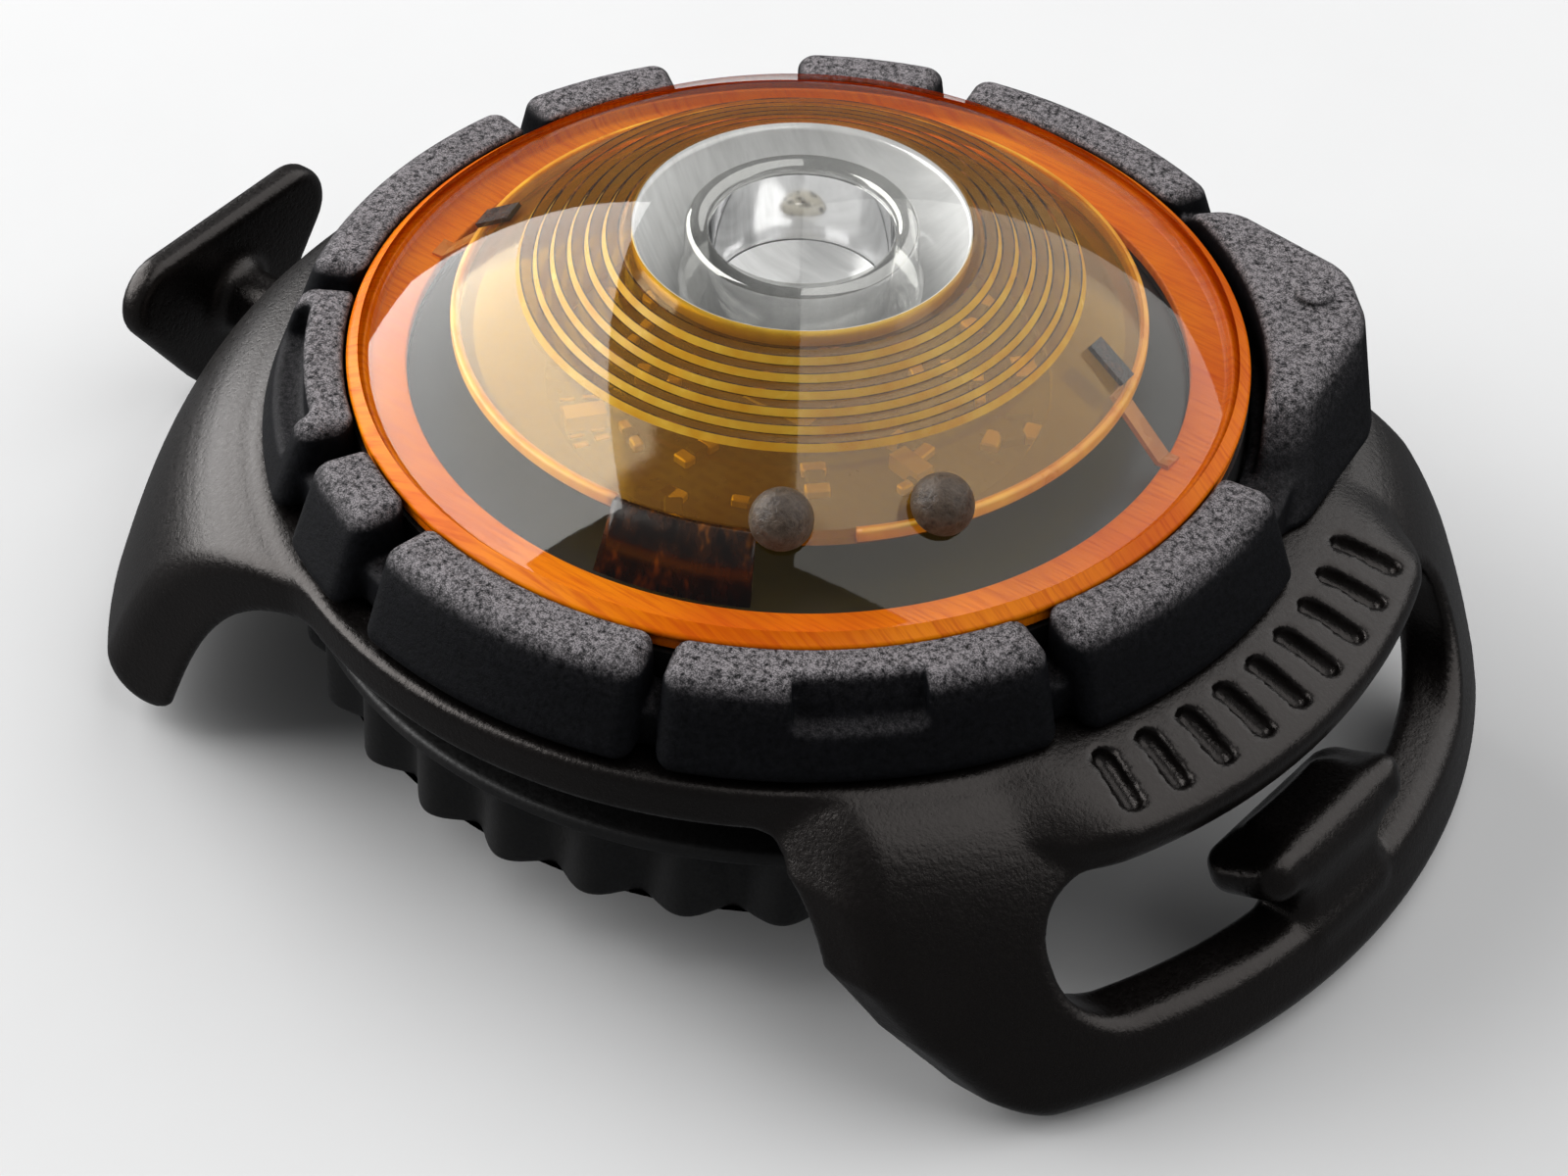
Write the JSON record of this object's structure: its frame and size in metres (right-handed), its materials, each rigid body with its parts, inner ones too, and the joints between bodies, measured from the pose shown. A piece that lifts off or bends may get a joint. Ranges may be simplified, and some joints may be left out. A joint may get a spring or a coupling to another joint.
{
  "type": "clip-on safety light",
  "caption": "Round amber LED safety light with a twist switch and rubber bumper, held in an elastomer strap clip with a stud on one side and a hooked loop on the other.",
  "frame": {"origin": "centre of the light's flat underside, on the light's axis", "axes": "+Z along the light's axis towards the dome, -X towards the stud, +X towards the hooked loop; a strap runs along Y under the light"},
  "size_m": [0.058, 0.0418, 0.0235],
  "materials": {
    "clip_elastomer": "satin, fine grain",
    "bumper_rubber": "speckled matte grain",
    "black_plastic": "fine spark texture",
    "grey_plastic": "moulded",
    "seal_rubber": "smooth",
    "cell_steel": "nickel plated",
    "screw_steel": "zinc plated",
    "gold_plate": "gold plated",
    "board_laminate": "solder mask",
    "chip_epoxy": "moulded epoxy",
    "ceramic_tan": "fired ceramic",
    "led_resin": "clear resin",
    "reflector_chrome": "mirror",
    "clear_plastic": "polished clear",
    "amber_plastic": "polished amber",
    "frosted_plastic": "frosted"
  },
  "bodies": {
    "clip": {"mount_clip": "clip_elastomer"},
    "base": {"base_housing": "black_plastic", "coin_cell": "cell_steel", "cell_tray": "grey_plastic", "tray_screws": "screw_steel", "positive_wiper": "gold_plate"},
    "cover_seal": {"cell_cover_seal": "seal_rubber"},
    "cover": {"cell_cover": "black_plastic"},
    "upper": {"upper_housing": "black_plastic", "twist_seal": "seal_rubber", "retaining_ring": "screw_steel", "bumper_ring": "bumper_rubber", "circuit_board": "board_laminate", "board_screws": "screw_steel", "negative_spring": "screw_steel", "controller_chip": "chip_epoxy", "power_inductor": "chip_epoxy", "chip_capacitors": "ceramic_tan", "chip_resistors": "chip_epoxy", "edge_pads": "gold_plate", "led_emitter": "led_resin", "reflector_cup": "reflector_chrome", "collimator_lens": "clear_plastic", "amber_diffuser": "amber_plastic", "lens_seal": "seal_rubber", "dome_lens": "clear_plastic", "locator_pips": "frosted_plastic"}
  },
  "joints": [
    {"name": "light_turn", "type": "hinge", "parent": "clip", "child": "base", "pos_m": [0, 0, 0], "axis": [0, 0, 1], "continuous": true},
    {"name": "mode_twist", "type": "hinge", "parent": "base", "child": "upper", "pos_m": [0, 0, 0.008], "axis": [0, 0, 1], "range_deg": [-40, 40]},
    {"name": "cover_travel", "type": "slide", "parent": "base", "child": "cover_seal", "axis": [0, 0, -1], "range_m": [0, 0.0024]},
    {"name": "cover_turn", "type": "hinge", "parent": "cover_seal", "child": "cover", "pos_m": [0, 0, 0], "axis": [0, 0, -1], "range_deg": [0, 720]}
  ],
  "couplings": [
    {"joint": "cover_turn", "follows": "cover_travel", "rad_per_m": 5236}
  ]
}
